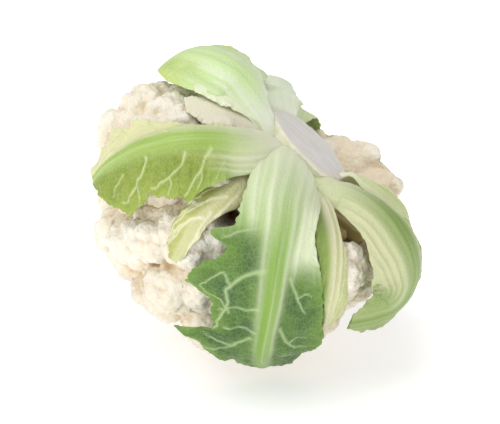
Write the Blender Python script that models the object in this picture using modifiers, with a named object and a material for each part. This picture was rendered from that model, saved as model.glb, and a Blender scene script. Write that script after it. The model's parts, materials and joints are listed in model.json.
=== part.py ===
"""A cauliflower that lies on its side on a small flat spot, with its wrapper leaves on.

The plant is worked out in its own measure, in millimetres. The head's centre is the zero, "up" runs
along the stalk to its cut end, "out" is the distance from the stalk's line, and the azimuth goes
round the stalk. The empty called head turns the plant over and sets it down: +Z is up, the origin
is on the ground at the middle of the whole object's box.
"""

import math

import bmesh
import bpy
import numpy as np

MM = 0.001

# The head, and how it lies.
CURD_RADIUS = 80.0
FLAT_SPOT_DEPTH = 3.0
LEAN_OF_STALK = 42.5
TURN_OF_STALK = -9.5
CURD_RINGS = 40
CURD_SEGMENTS = 52
FLORETS = 46
FLORET_DEPTH = 8.0
# Where the curd's rim dips or rises: azimuth, width in degrees, and height.
RIM_CHANGES = ((-103, 14, -9), (-128, 12, -5), (63, 24, 15.5), (108, 22, -4))

# The stalk, cut square at the top, with the short branches that carry the florets.
STALK_TOP = 47.0
CUT_RADIUS = 24.5
BRANCHES = 9

# The leaves. A blade is a little over a millimetre thick, and its rib stands out of the outer side.
BLADE = 1.1
CLEARANCE = 0.35
MANIFOLD_LEAVES = ("leaf_right", "leaf_right_small", "leaf_left", "leaf_top")

# Each leaf: the rib as azimuth, out and up; half-widths from base to tip on each side; how strongly
# the section wraps round the head; the rib's height and half-width at base and tip; the rim's lobes.
LEAVES = {
    "leaf_top_inner": {
        "rib": [(-150, 27, 36), (-153, 40, 41), (-154, 51, 40.5), (-154, 61, 38.5), (-155, 68, 36)],
        "left": [5, 6.5, 7.5, 7, 4],
        "right": [5, 6, 6.5, 6, 4],
        "wrap": [1.6, 1.3, 1, 1, 1],
        "height": (2.5, 0.8),
        "spread": (5, 4),
        "grid": (11, 7),
    },
    "leaf_left_upper": {
        "rib": [(-142, 27, 35), (-146, 37, 38), (-147, 50, 37), (-146, 62, 34.5), (-147, 69.5, 31)],
        "left": [5, 7, 8.5, 10, 9],
        "right": [6, 9, 13, 15, 13],
        "wrap": [1.6, 1.3, 1, 1, 1],
        "height": (2.5, 0.8),
        "spread": (6, 5),
        "grid": (11, 7),
    },
    "leaf_left_small": {
        "rib": [
            (-110, 27, 30), (-108, 40, 33), (-105, 60, 27), (-103, 76, 14),
            (-103, 82.5, 2), (-101, 83, -10), (-100, 81, -18),
        ],
        "left": [8, 9.7, 13, 13, 10.3, 8.2, 3],
        "right": [8, 8, 8, 4.5, 4.5, 3.3, 1.5],
        "wrap": [1.6, 1.3, 1, 1, 1, 1, 1],
        "height": (3.0, 0.5),
        "spread": (6, 3),
        "grid": (13, 9),
    },
    "leaf_right_small": {
        "rib": [
            (-64, 27, 34), (-62, 40, 38), (-60, 56, 38), (-58, 70, 34),
            (-54, 80, 24), (-49, 84, 12), (-43, 84, 1),
        ],
        "left": [4, 4, 7.7, 10.5, 7, 3.2, 1.5],
        "right": [8, 8.4, 5.8, 6, 8.3, 10, 5],
        "wrap": [1.6, 1.4, 1, 1, 1, 1, 1],
        "height": (3.0, 1.0),
        "spread": (6, 3),
        "grid": (15, 9),
    },
    "leaf_right_outer": {
        "rib": [
            (0, 27, 44), (-3, 31, 48), (-5, 36, 51.5), (-3, 44, 53.5),
            (1, 53, 53), (3, 62, 51), (1, 69, 48),
        ],
        "left": [6, 7, 8, 8.5, 8.5, 7, 3],
        "right": [6, 7, 8, 9, 9, 7, 3],
        "wrap": [1.6, 1.4, 1, 1, 1, 1, 1],
        "height": (4.0, 1.0),
        "spread": (7, 4),
        "grid": (17, 9),
    },
    "leaf_back": {
        "rib": [
            (112, 26, 30), (111, 38, 33), (109, 54, 35), (106, 68, 36),
            (102, 80, 24), (98, 83.5, 0), (95, 81, -22),
        ],
        "left": [8, 10, 13, 20, 27, 24, 9],
        "right": [8, 10, 13, 20, 27, 24, 9],
        "wrap": [1.6, 1.4, 1, 1, 1, 1, 1],
        "height": (4.5, 1.2),
        "spread": (8, 5),
        "grid": (17, 11),
    },
    "leaf_back_left": {
        "rib": [
            (146, 26, 31), (141, 38, 35), (136, 54, 38), (132, 68, 39),
            (128, 80, 30), (124, 87, 8), (121, 85, -20),
        ],
        "left": [8, 11, 17, 26, 32, 28, 10],
        "right": [8, 11, 17, 24, 26, 22, 9],
        "wrap": [1.6, 1.4, 1, 1, 1, 1, 1],
        "height": (4.5, 1.2),
        "spread": (9, 5),
        "grid": (17, 11),
    },
    "leaf_left": {
        "rib": [
            (-121, 26, 35.5), (-119, 39, 38), (-119, 58, 38), (-122, 69.5, 34.5),
            (-125, 78, 29), (-128, 83, 22.5), (-131, 85.5, 14.5), (-135, 86.5, 4.5),
            (-139, 85.5, -7), (-143, 84, -18.5), (-146, 81, -30.5),
        ],
        "left": [13, 10, 7, 6, 6.3, 9, 13, 15, 16.5, 15, 5],
        "right": [14, 13, 16, 20, 25, 29, 25.5, 26, 28, 22, 4],
        "wrap": [1.6, 1.45, 1.2, 1, 1, 1, 1, 1, 1, 1, 1],
        "height": (5.0, 0.8),
        "spread": (9, 2.5),
        "grid": (21, 11),
    },
    "leaf_right": {
        "rib": [
            (-48, 26, 39), (-45, 33, 43), (-41, 41, 48), (-38, 52, 52.5),
            (-34, 65, 53.5), (-29, 76, 50), (-25, 85, 42.5), (-24, 90, 33),
            (-25, 91, 23.5), (-29, 89.5, 15.5), (-36, 87.5, 8.5),
        ],
        "left": [12, 11, 13.5, 17, 20, 25, 30, 31, 28, 19, 7],
        "right": [14, 13, 14, 15.4, 15.2, 15, 19, 20, 17.5, 10, 4],
        "wrap": [1.6, 1.45, 1.3, 1.15, 1.1, 1.1, 1.1, 1.15, 1.15, 1.15, 1.15],
        "height": (5.5, 0.8),
        "spread": (10, 6),
        "grid": (21, 11),
    },
    "leaf_top": {
        "rib": [
            (-162, 26, 39), (-163, 33, 43), (-164, 40, 47), (-167, 49.5, 49.5), (-170, 58, 49),
            (-175, 67, 45), (-180, 74.5, 38.5), (-184, 79, 29.5), (-188, 81, 19),
        ],
        "left": [16, 15, 20, 23, 21, 20, 19, 14, 5],
        "right": [14, 13, 17, 21.5, 26, 27, 25, 17, 5],
        "wrap": [1.4, 1.1, 0.8, 0.75, 0.9, 1.1, 1.25, 1.25, 1.2],
        "height": (5.5, 1.4),
        "spread": (13, 6),
        "grid": (19, 11),
    },
    "leaf_front": {
        "rib": [
            (-98, 26, 37), (-96, 35, 39.5), (-92, 51, 40.5), (-88, 67, 37.5), (-83, 77.5, 30),
            (-77, 84.5, 17), (-70, 88, 2), (-62, 86.5, -15), (-53, 82, -29), (-38, 73, -42),
        ],
        "left": [19, 18, 17, 18.5, 20, 30, 38, 30, 26, 10],
        "right": [21, 21, 21.5, 20, 17.5, 21.5, 26, 28.5, 29.5, 12],
        "wrap": [1.6, 1.45, 1.3, 1.1, 1, 1, 1, 1, 1, 1],
        "height": (5.5, 1.3),
        "spread": (16, 3),
        "grid": (23, 13),
    },
    "leaf_stub_back": {
        "rib": [(140, 26, 42), (139, 31, 46), (138, 37, 49.5), (138, 43, 51)],
        "left": [11, 13, 14, 12],
        "right": [11, 13, 14, 12],
        "wrap": [1.6, 1.4, 1.2, 1.2],
        "height": (3.5, 2.0),
        "spread": (12, 12),
        "grid": (7, 9),
    },
}

COLOURS = {
    "curd": (0.80, 0.74, 0.60),
    "stalk": (0.72, 0.70, 0.60),
    "leaf_left_small": (0.52, 0.58, 0.22),
    "leaf_top_inner": (0.62, 0.70, 0.40),
    "leaf_left_upper": (0.72, 0.70, 0.58),
    "leaf_right_small": (0.55, 0.63, 0.36),
    "leaf_right_outer": (0.70, 0.70, 0.55),
    "leaf_front": (0.22, 0.40, 0.14),
    "leaf_left": (0.40, 0.55, 0.17),
    "leaf_top": (0.50, 0.65, 0.28),
    "leaf_right": (0.48, 0.64, 0.27),
    "leaf_back": (0.38, 0.55, 0.20),
    "leaf_back_left": (0.38, 0.55, 0.20),
    "leaf_stub_back": (0.66, 0.72, 0.52),
}


def through(points, along):
    """Points on a smooth curve through the given ones, at fractions of the way along it."""
    knots = np.asarray(points, float)
    if knots.ndim == 1:
        knots = knots[:, None]
    spans = len(knots) - 1
    knots = np.vstack([2 * knots[0] - knots[1], knots, 2 * knots[-1] - knots[-2]])
    place = np.clip(along, 0, 1) * spans
    first = np.minimum(place.astype(int), spans - 1)
    part = (place - first)[:, None]
    a, b, c, d = knots[first], knots[first + 1], knots[first + 2], knots[first + 3]
    cubic = 2 * b + (c - a) * part + (2 * a - 5 * b + 4 * c - d) * part**2
    return 0.5 * (cubic + (3 * b - a - 3 * c + d) * part**3)


def from_azimuth(rows):
    """Positions from rows of azimuth in degrees, out and up."""
    rows = np.asarray(rows, float)
    turn = np.radians(rows[:, 0])
    return np.stack([rows[:, 1] * np.cos(turn), rows[:, 1] * np.sin(turn), rows[:, 2]], 1)


def unit(vectors):
    return vectors / np.linalg.norm(vectors, axis=-1, keepdims=True)


def down_in_plant():
    """The way gravity points, in the plant's own measure."""
    lean = math.radians(LEAN_OF_STALK)
    return np.array([math.sin(lean), 0.0, -math.cos(lean)])


def settle_on_flat_spot(points):
    """The points, with any below the flat spot's plane lifted onto it."""
    down = down_in_plant()
    depth = points @ down
    below = np.maximum(depth - (CURD_RADIUS - FLAT_SPOT_DEPTH), 0)
    return points - below[:, None] * down


def material(name, colour, roughness):
    made = bpy.data.materials.new(name)
    made.use_nodes = True
    shader = made.node_tree.nodes["Principled BSDF"]
    shader.inputs["Base Color"].default_value = (*colour, 1.0)
    shader.inputs["Roughness"].default_value = roughness
    shader.inputs["Metallic"].default_value = 0.0
    made.diffuse_color = (*colour, 1.0)
    return made


def adopt(piece, name, roughness=0.5):
    """Names the active piece, gives it its material and parents it to the head's empty."""
    piece.name = name
    piece.data.name = name
    for holder in list(piece.users_collection):
        holder.objects.unlink(piece)
    plant.objects.link(piece)
    piece.data.materials.clear()
    piece.data.materials.append(material(name, COLOURS[name], roughness))
    piece.parent = head
    piece.data.shade_smooth()
    return piece


def corners(piece):
    """The piece's own points, as an array."""
    found = np.empty(len(piece.data.vertices) * 3)
    piece.data.vertices.foreach_get("co", found)
    return found.reshape(-1, 3)


def place_corners(piece, points):
    piece.data.vertices.foreach_set("co", (points * MM).ravel())
    piece.data.update()


def spread_directions(count, turn=2.399963):
    """Even directions over a ball, from its lowest point to its highest."""
    index = np.arange(count) + 0.5
    height = -1 + 2 * index / count
    ring = np.sqrt(1 - height**2)
    return np.stack([ring * np.cos(turn * index), ring * np.sin(turn * index), height], 1)


def rim_lift(azimuth):
    """How much higher or lower the curd's rim stands at each azimuth, in degrees."""
    lift = -1 + 8 * np.cos(np.radians(azimuth + 10))
    for middle, width, change in RIM_CHANGES:
        away = (azimuth - middle + 180) % 360 - 180
        lift = lift + change * np.exp(-((away / width) ** 2))
    return lift


CURD_PROFILE = [
    (0, -80), (30.6, -73.9), (56.6, -56.6), (73.9, -30.6), (80, -8), (79.2, 11), (75.5, 26),
    (70.5, 35.5), (65, 38.5), (57, 34), (46, 25), (34, 15.5), (22, 10), (0, 9),
]


def make_curd():
    """One ball of florets: round below, hollow above where the branches come in."""
    bpy.ops.mesh.primitive_uv_sphere_add(segments=CURD_SEGMENTS, ring_count=CURD_RINGS, radius=1)
    curd = bpy.context.object
    ball = corners(curd)
    along = np.arccos(np.clip(-ball[:, 2], -1, 1)) / math.pi
    azimuth = np.degrees(np.arctan2(ball[:, 1], ball[:, 0]))
    profile = through(CURD_PROFILE, along)
    step = 1e-3
    tangent = unit(through(CURD_PROFILE, along + step) - through(CURD_PROFILE, along - step))
    turn = np.radians(azimuth)
    radial = np.stack([np.cos(turn), np.sin(turn), 0 * turn], 1)
    points = profile[:, :1] * radial
    points[:, 2] = profile[:, 1]
    points[:, 2] += rim_lift(azimuth) * np.exp(-(((along - 0.60) / 0.13) ** 2))
    outward = tangent[:, 1:2] * radial
    outward[:, 2] = -tangent[:, 0]
    # Every floret is a low dome, and the valleys between them reach in from the ball.
    seeds = spread_directions(FLORETS)
    look = unit(points + np.array([0, 0, 12.0]))
    nearest = np.sort(np.arccos(np.clip(look @ seeds.T, -1, 1)), axis=1)
    valley = 1 - np.clip((nearest[:, 1] - nearest[:, 0]) / 0.30, 0, 1)
    depth = FLORET_DEPTH * valley**1.7
    depth[along > 0.86] = 0
    # The florets it rests on are pressed level, so the valleys fade out there.
    off_spot = np.degrees(np.arccos(np.clip(unit(points) @ down_in_plant(), -1, 1)))
    depth *= np.clip((off_spot - 13) / 8, 0, 1)
    points = points - outward * depth[:, None]
    place_corners(curd, settle_on_flat_spot(points))
    return adopt(curd, "curd", 0.6)


STALK_PROFILE = [
    (0, 47), (12, 47.1), (CUT_RADIUS - 0.6, 47), (CUT_RADIUS, 45.5), (23.6, 40), (22.5, 34),
    (22.5, 29), (27, 26.5), (35, 26.5), (44, 30), (50, 33), (51, 30), (43, 24), (34, 16.4),
    (22, 10.6), (0, 9.6),
]


def make_stalk():
    """The trunk with its cut face, and the fork into branches that lie on the curd's hollow."""
    bpy.ops.mesh.primitive_uv_sphere_add(segments=45, ring_count=28, radius=1)
    stalk = bpy.context.object
    ball = corners(stalk)
    along = np.arccos(np.clip(ball[:, 2], -1, 1)) / math.pi
    profile = through(STALK_PROFILE, along)
    turn = np.arctan2(ball[:, 1], ball[:, 0])
    out, up = profile[:, 0], profile[:, 1]
    branch = 0.5 + 0.5 * np.cos(BRANCHES * turn)
    pull = np.clip((out - 26) / 24, 0, 1) * (1 - branch)
    out = out - 17 * pull
    floor = 10.6 + np.clip(out - 22, 0, None) * 0.62
    up = np.where(along > 0.66, np.maximum(up - 12 * pull, floor), np.maximum(up - 8 * pull, floor + 1.2))
    points = np.stack([out * np.cos(turn), out * np.sin(turn), up], 1)
    place_corners(stalk, points)
    return adopt(stalk, "stalk", 0.45)


def leaf_points(leaf, across, along):
    """Sheet of a leaf and its thickness there.

    The section at each place along the rib is an arc square to it, of the distance from the head's
    centre divided by the wrap. A place across is 0 on the rib and 1 or -1 at the rim.
    """
    rib = from_azimuth(leaf["rib"])
    rib = np.column_stack([rib, leaf["left"], leaf["right"], leaf["wrap"]]) if len(rib) == len(leaf["wrap"]) else rib
    row = through(rib, along)
    step = 2e-3
    ahead = unit(through(rib, along + step)[:, :3] - through(rib, along - step)[:, :3])
    middle = row[:, :3]
    outward = unit(middle)
    outward = unit(outward - (outward * ahead).sum(1, keepdims=True) * ahead)
    aside = np.cross(outward, ahead)
    reach = np.where(across < 0, row[:, 3], row[:, 4])
    arc = across * reach
    bend = np.linalg.norm(middle, axis=1) / row[:, 5]
    angle = (arc / bend)[:, None]
    points = middle + aside * bend[:, None] * np.sin(angle) - outward * bend[:, None] * (1 - np.cos(angle))
    height = leaf["height"][0] + (leaf["height"][1] - leaf["height"][0]) * along**0.8
    spread = leaf["spread"][0] + (leaf["spread"][1] - leaf["spread"][0]) * along**0.7
    thickness = BLADE + height * np.exp(-((arc / spread) ** 2))
    return points, thickness


def make_leaf(name):
    """A grid laid along the rib, then given its thickness outwards."""
    leaf = LEAVES[name]
    rows, columns = leaf["grid"]
    bpy.ops.mesh.primitive_grid_add(x_subdivisions=columns - 1, y_subdivisions=rows - 1, size=2)
    piece = bpy.context.object
    flat = corners(piece)
    across = -np.sign(flat[:, 0]) * np.abs(flat[:, 0]) ** 1.35
    along = np.clip((flat[:, 1] + 1) / 2, 0, 1)
    points, thickness = leaf_points(leaf, across, along)
    place_corners(piece, points)
    adopt(piece, name)
    thickest = float(thickness.max())
    group = piece.vertex_groups.new(name="thickness")
    for index, value in enumerate(thickness / thickest):
        group.add([index], float(value), "REPLACE")
    solid = piece.modifiers.new("thickness", "SOLIDIFY")
    solid.thickness = thickest * MM
    solid.offset = 1
    solid.vertex_group = "thickness"
    solid.use_rim = True
    return piece


def settled_mesh(piece):
    """The piece's mesh with its modifiers worked in, welded."""
    bpy.context.view_layer.update()
    graph = bpy.context.evaluated_depsgraph_get()
    made = bpy.data.meshes.new_from_object(piece.evaluated_get(graph))
    shape = bmesh.new()
    shape.from_mesh(made)
    bmesh.ops.remove_doubles(shape, verts=shape.verts, dist=0.05 * MM)
    bmesh.ops.triangulate(shape, faces=shape.faces)
    keep_largest(shape)
    shape.to_mesh(made)
    shape.free()
    return made


def keep_largest(shape):
    """Leaves only the largest connected body, so that a trimmed leaf has no crumbs."""
    left = set(shape.verts)
    bodies = []
    while left:
        body = {left.pop()}
        edge = list(body)
        while edge:
            for link in edge.pop().link_edges:
                for end in link.verts:
                    if end in left:
                        left.discard(end)
                        body.add(end)
                        edge.append(end)
        bodies.append(body)
    bodies.sort(key=len)
    crumbs = [vert for body in bodies[:-1] for vert in body]
    bmesh.ops.delete(shape, geom=crumbs, context="VERTS")


def grown_copy(piece):
    """A cutter of the piece's shape, larger by the clearance all round."""
    cutter = bpy.data.objects.new(piece.name + "_room", piece.data.copy())
    shape = bmesh.new()
    shape.from_mesh(cutter.data)
    shape.normal_update()
    for vert in shape.verts:
        vert.co += vert.normal * CLEARANCE * vert.calc_shell_factor() * MM
    shape.to_mesh(cutter.data)
    shape.free()
    cutter.parent = head
    cutter.hide_render = True
    cutter.display_type = "WIRE"
    cutters.objects.link(cutter)
    return cutter


def box_of(piece):
    points = corners(piece)
    return points.min(0), points.max(0)


def make_room(piece, others):
    """Cuts the piece back from the others that it would run into, then works its modifiers in.

    The exact solver loses the most strongly curled leaves, so those take the manifold solver.
    """
    solver = "MANIFOLD" if piece.name in MANIFOLD_LEAVES else "EXACT"
    piece.data = settled_mesh(piece)
    piece.modifiers.clear()
    low, high = box_of(piece)
    for other in others:
        start, end = box_of(other)
        if (start > high).any() or (end < low).any():
            continue
        cut = piece.modifiers.new(other.name, "BOOLEAN")
        cut.operation = "DIFFERENCE"
        cut.solver = solver
        cut.object = other
    piece.data = settled_mesh(piece)
    piece.modifiers.clear()


for old in list(bpy.data.objects):
    bpy.data.objects.remove(old, do_unlink=True)

plant = bpy.data.collections.new("cauliflower")
bpy.context.scene.collection.children.link(plant)
cutters = bpy.data.collections.new("cutters")
bpy.context.scene.collection.children.link(cutters)
cutters.hide_render = True

head = bpy.data.objects.new("head", None)
plant.objects.link(head)
head.rotation_euler = (0, math.radians(LEAN_OF_STALK), math.radians(TURN_OF_STALK))

rooms = [grown_copy(make_stalk())]
for part in [make_curd()] + [make_leaf(leaf_name) for leaf_name in LEAVES]:
    make_room(part, rooms)
    rooms.append(grown_copy(part))

# Set the plant down: its lowest point on the ground, its box centred on the origin.
bpy.context.view_layer.update()
graph = bpy.context.evaluated_depsgraph_get()
low = np.full(3, np.inf)
high = np.full(3, -np.inf)
for part in plant.objects:
    if part.type != "MESH":
        continue
    shape = part.evaluated_get(graph)
    own = np.empty(len(shape.data.vertices) * 3)
    shape.data.vertices.foreach_get("co", own)
    turned = own.reshape(-1, 3) @ np.array(head.rotation_euler.to_matrix()).T
    low = np.minimum(low, turned.min(0))
    high = np.maximum(high, turned.max(0))
head.location = (-(low[0] + high[0]) / 2, -(low[1] + high[1]) / 2, -low[2])
bpy.context.view_layer.update()
print("size in mm", np.round((high - low) / MM, 1), "lowest", round(low[2] / MM, 2), "head at", head.location)
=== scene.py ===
# %% [markdown]
# # A cauliflower, built cell by cell
# The plant lies on its side on a few pressed florets, with its cut stalk up and its wrapper
# leaves round the curd. Every shape below is a surface worked out from a formula, in the plant's
# own measure, and then laid into the frame that the solid parts share.

import json
import math

import bpy
import numpy as np
from mathutils import Matrix, Vector


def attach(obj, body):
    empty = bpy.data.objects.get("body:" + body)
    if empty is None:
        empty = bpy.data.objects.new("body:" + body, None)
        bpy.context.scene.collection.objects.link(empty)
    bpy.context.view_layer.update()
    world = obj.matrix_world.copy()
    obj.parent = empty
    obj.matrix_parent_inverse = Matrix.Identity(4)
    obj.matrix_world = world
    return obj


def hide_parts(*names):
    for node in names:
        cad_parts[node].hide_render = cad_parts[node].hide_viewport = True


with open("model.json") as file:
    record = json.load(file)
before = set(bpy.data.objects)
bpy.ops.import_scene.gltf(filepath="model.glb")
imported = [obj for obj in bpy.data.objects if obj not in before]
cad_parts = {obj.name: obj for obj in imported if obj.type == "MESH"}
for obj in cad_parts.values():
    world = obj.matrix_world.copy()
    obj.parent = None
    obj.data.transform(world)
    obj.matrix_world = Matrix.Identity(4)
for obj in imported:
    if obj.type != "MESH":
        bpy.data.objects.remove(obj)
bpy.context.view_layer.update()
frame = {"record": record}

# %% [markdown]
# ## The plant's own measure
# A cauliflower grows round one line, its stalk. So a point is easiest to say as an azimuth round
# the stalk, a distance out from it and a height up it, in millimetres, with the head's centre as
# zero. Lying down is then one turn of the whole plant, and only the last step knows about it.

# %% Measures
CURD_RADIUS = 80.0
FLAT_SPOT_DEPTH = 3.0
LEAN, TURN = math.radians(42.5), math.radians(-9.5)
rest_spot = next(m for m in frame["record"]["mounts"] if m["name"] == "rest_spot")["pos_m"]
head_at = np.array(rest_spot) + [0, 0, (CURD_RADIUS - FLAT_SPOT_DEPTH) * 0.001]
lean = np.array([[math.cos(LEAN), 0, math.sin(LEAN)], [0, 1, 0], [-math.sin(LEAN), 0, math.cos(LEAN)]])
turn = np.array([[math.cos(TURN), -math.sin(TURN), 0], [math.sin(TURN), math.cos(TURN), 0], [0, 0, 1]])
plant_axes = turn @ lean
down = plant_axes.T @ np.array([0, 0, -1.0])


def unit(vectors):
    """v / |v| for every row."""
    return vectors / np.maximum(np.linalg.norm(vectors, axis=-1, keepdims=True), 1e-12)


def laid_down(points):
    """Plant's measure in mm to the frame in m: head centre + axes . p / 1000."""
    return head_at + points @ plant_axes.T * 0.001


def smooth(low, high, value):
    """0 below low, 1 above high, and 3t^2 - 2t^3 between."""
    part = np.clip((value - low) / (high - low), 0, 1)
    return part * part * (3 - 2 * part)


def through(points, along):
    """A Catmull-Rom curve: 0.5 (2b + (c-a)t + (2a-5b+4c-d)t^2 + (3b-a-3c+d)t^3) in each span."""
    knots = np.asarray(points, float)
    if knots.ndim == 1:
        knots = knots[:, None]
    spans = len(knots) - 1
    knots = np.vstack([2 * knots[0] - knots[1], knots, 2 * knots[-1] - knots[-2]])
    place = np.clip(along, 0, 1) * spans
    first = np.minimum(place.astype(int), spans - 1)
    t = (place - first)[..., None]
    a, b, c, d = (knots[first + k] for k in range(4))
    square = (2 * a - 5 * b + 4 * c - d) * t**2
    cube = (3 * b - a - 3 * c + d) * t**3
    return 0.5 * (2 * b + (c - a) * t + square + cube)


def from_azimuth(rows):
    """(out cos(az), out sin(az), up) from rows of azimuth in degrees, out and up."""
    rows = np.asarray(rows, float)
    around = np.radians(rows[:, 0])
    return np.stack([rows[:, 1] * np.cos(around), rows[:, 1] * np.sin(around), rows[:, 2]], 1)


def ripples(points, size, seed):
    """Smooth unevenness in -1..1: sines along random directions, at three sizes, finer and weaker."""
    rng = np.random.default_rng(seed)
    total, weight = np.zeros(points.shape[:-1]), 0.0
    for octave in range(3):
        for _ in range(5):
            way = unit(rng.normal(size=points.shape[-1])) * 2 * math.pi / (size / 2**octave)
            total += np.sin(points @ way + rng.uniform(0, 6.28)) * 0.6**octave
        weight += 5 * 0.6**octave
    return total / weight * 2


print("head centre", head_at, "down in the plant", down)

# %% [markdown]
# ## Making a piece from arrays
# A surface is a table of points, row by row. These functions join the rows with quads, close the
# ends or the rim so that the skin has no hole, and hand the mesh to Blender whole. Masks go with the
# points, and the materials read them: how green, how near a vein, and how deep in a crevice, which
# the curd's material darkens as painted shade.

# %% Meshes
def rows_to_quads(rows, columns, ring, start=0):
    """Quads between neighbouring rows of a table of points; ring joins the last column to the first."""
    r = np.arange(rows - 1)[:, None]
    c = np.arange(columns if ring else columns - 1)[None, :]
    n = (c + 1) % columns
    here, above = r * columns, (r + 1) * columns
    return np.stack([here + c, here + n, above + n, above + c], -1).reshape(-1, 4) + start


def sheet_with_back(front, back):
    """Points and quads of a closed slab: a front table, a back table, and a strip round the rim."""
    rows, columns = front.shape[:2]
    count = rows * columns
    points = np.concatenate([front.reshape(-1, 3), back.reshape(-1, 3)])
    face = rows_to_quads(rows, columns, False)
    index = np.arange(count).reshape(rows, columns)
    rim = np.concatenate([index[0, :-1], index[:-1, -1], index[-1, :0:-1], index[:0:-1, 0]])
    after = np.roll(rim, -1)
    strip = np.stack([after, rim, rim + count, after + count], 1)
    return points, np.concatenate([face, face[:, ::-1] + count, strip])


def outward_of(table):
    """Unit normals of a table of points: (p_across x p_along), made of central differences."""
    along = np.gradient(table, axis=0)
    across = np.gradient(table, axis=1)
    return unit(np.cross(across, along))


def piece_of(name, points, quads, masks, node):
    """A smooth mesh object from arrays, with its masks, standing for one solid part."""
    mesh = bpy.data.meshes.new(name)
    triangles = quads[:, 2] == quads[:, 3]
    sizes = np.where(triangles, 3, 4)
    keep = np.ones(quads.shape, bool)
    keep[triangles, 3] = False
    mesh.vertices.add(len(points))
    mesh.vertices.foreach_set("co", laid_down(points).astype(np.float32).ravel())
    mesh.loops.add(int(sizes.sum()))
    mesh.loops.foreach_set("vertex_index", quads[keep].astype(np.int32))
    mesh.polygons.add(len(quads))
    starts = np.concatenate([[0], np.cumsum(sizes)[:-1]])
    mesh.polygons.foreach_set("loop_start", starts.astype(np.int32))
    mesh.update(calc_edges=True)
    mesh.validate()
    mesh.shade_smooth()
    for mask, values in masks.items():
        kind, field = ("FLOAT", "value") if values.ndim == 1 else ("FLOAT_VECTOR", "vector")
        layer = mesh.attributes.new(mask, kind, "POINT")
        layer.data.foreach_set(field, values.astype(np.float32).ravel())
    made = bpy.data.objects.new(name, mesh)
    bpy.context.scene.collection.objects.link(made)
    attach(made, "root")
    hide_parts(node)
    print(name, "triangles", int((sizes - 2).sum()))
    return made


# %% [markdown]
# ## Materials
# Plant skin is a colour that drifts, a faint net or streak, a soft waxy shine and a little light
# that gets under the surface. The masks made with each piece steer the colours; some of them paint
# shade into the curd's creases, hollow and gap and onto the branches under it, and a highlight on a rib.

# %% Material tools
def tint(red, green, blue):
    """Linear colour from display values 0-255: ((v/255 + 0.055)/1.055)^2.4."""
    return tuple(((v / 255 + 0.055) / 1.055) ** 2.4 for v in (red, green, blue)) + (1.0,)


class Shader:
    """A material under construction: every method adds a node and returns what comes out of it."""

    def __init__(self, name, roughness, glow, radius):
        self.made = bpy.data.materials.new(name)
        self.made.use_nodes = True
        self.tree = self.made.node_tree
        self.body = self.tree.nodes["Principled BSDF"]
        self.body.inputs["Roughness"].default_value = roughness
        self.body.inputs["Subsurface Weight"].default_value = glow
        self.body.inputs["Subsurface Radius"].default_value = radius
        self.body.inputs["Subsurface Scale"].default_value = 0.001
        self.body.inputs["Specular IOR Level"].default_value = 0.35

    def put(self, kind, sources=(), **settings):
        node = self.tree.nodes.new(kind)
        for key, value in settings.items():
            setattr(node, key, value)
        for socket, value in sources:
            if isinstance(value, bpy.types.NodeSocket):
                self.tree.links.new(value, node.inputs[socket])
            else:
                node.inputs[socket].default_value = value
        return node

    def mask(self, name):
        return self.put("ShaderNodeAttribute", attribute_name=name).outputs["Fac"]

    def vector(self, name):
        return self.put("ShaderNodeAttribute", attribute_name=name).outputs["Vector"]

    def place(self):
        return self.put("ShaderNodeTexCoord").outputs["Object"]

    def stretch(self, vector, scale):
        return self.put("ShaderNodeMapping", [("Vector", vector), ("Scale", scale)]).outputs["Vector"]

    def noise(self, vector, scale, detail=3.0):
        sources = [("Vector", vector), ("Scale", scale), ("Detail", detail)]
        return self.put("ShaderNodeTexNoise", sources).outputs["Fac"]

    def cells(self, vector, scale, feature="F1"):
        sources = [("Vector", vector), ("Scale", scale)]
        return self.put("ShaderNodeTexVoronoi", sources, feature=feature).outputs["Distance"]

    def ramp(self, value, low, high, start=0.0, end=1.0):
        sources = [("Value", value), ("From Min", low), ("From Max", high)]
        sources += [("To Min", start), ("To Max", end)]
        return self.put("ShaderNodeMapRange", sources, interpolation_type="SMOOTHSTEP").outputs["Result"]

    def sum(self, operation, a, b):
        return self.put("ShaderNodeMath", [(0, a), (1, b)], operation=operation).outputs[0]

    def mix(self, factor, a, b):
        sources = [(0, factor), (6, a), (7, b)]
        return self.put("ShaderNodeMix", sources, data_type="RGBA").outputs[2]

    def bump(self, height, depth, strength=1.0, under=None):
        sources = [("Height", height), ("Distance", depth), ("Strength", strength)]
        if under is not None:
            sources.append(("Normal", under))
        return self.put("ShaderNodeBump", sources).outputs["Normal"]

    def finish(self, colour, normal=None):
        self.tree.links.new(colour, self.body.inputs["Base Color"])
        if normal is not None:
            self.tree.links.new(normal, self.body.inputs["Normal"])
        return self.made


print("material tools ready")

# %% [markdown]
# ## The curd
# The white head is thousands of buds on ever finer branches, packed into a ball. On a real one the
# eye reads three sizes of dome: florets the size of a walnut, knobs on them the size of a pea, and
# grains on those. It could be grown bud by bud, but domes pushed up from a ball, each size on the
# last, give the same creases where neighbours meet, and one closed skin. Below the stalk the ball is
# hollow, because the florets part there into bare branches.

# %% Curd
CURD_PROFILE = [
    (0, -80), (30.6, -73.9), (56.6, -56.6), (73.9, -30.6), (80, -8), (79.2, 11), (75.5, 26),
    (70.5, 35.5), (65, 38.5), (57, 34), (46, 25), (34, 15.5), (22, 10), (0, 9),
]
# Where the rim dips or rises: azimuth, width in degrees, and height.
RIM_CHANGES = ((-103, 14, -9), (-128, 12, -5), (56, 28, 16), (108, 22, -4))
CURD_GRID = (176, 46, 440)  # rows from crown to rim, rows in the hollow, points a row
FLORETS, FLORET_SIZES, FLORET_REACH = 74, (13.5, 18.5), 77.5
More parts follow.
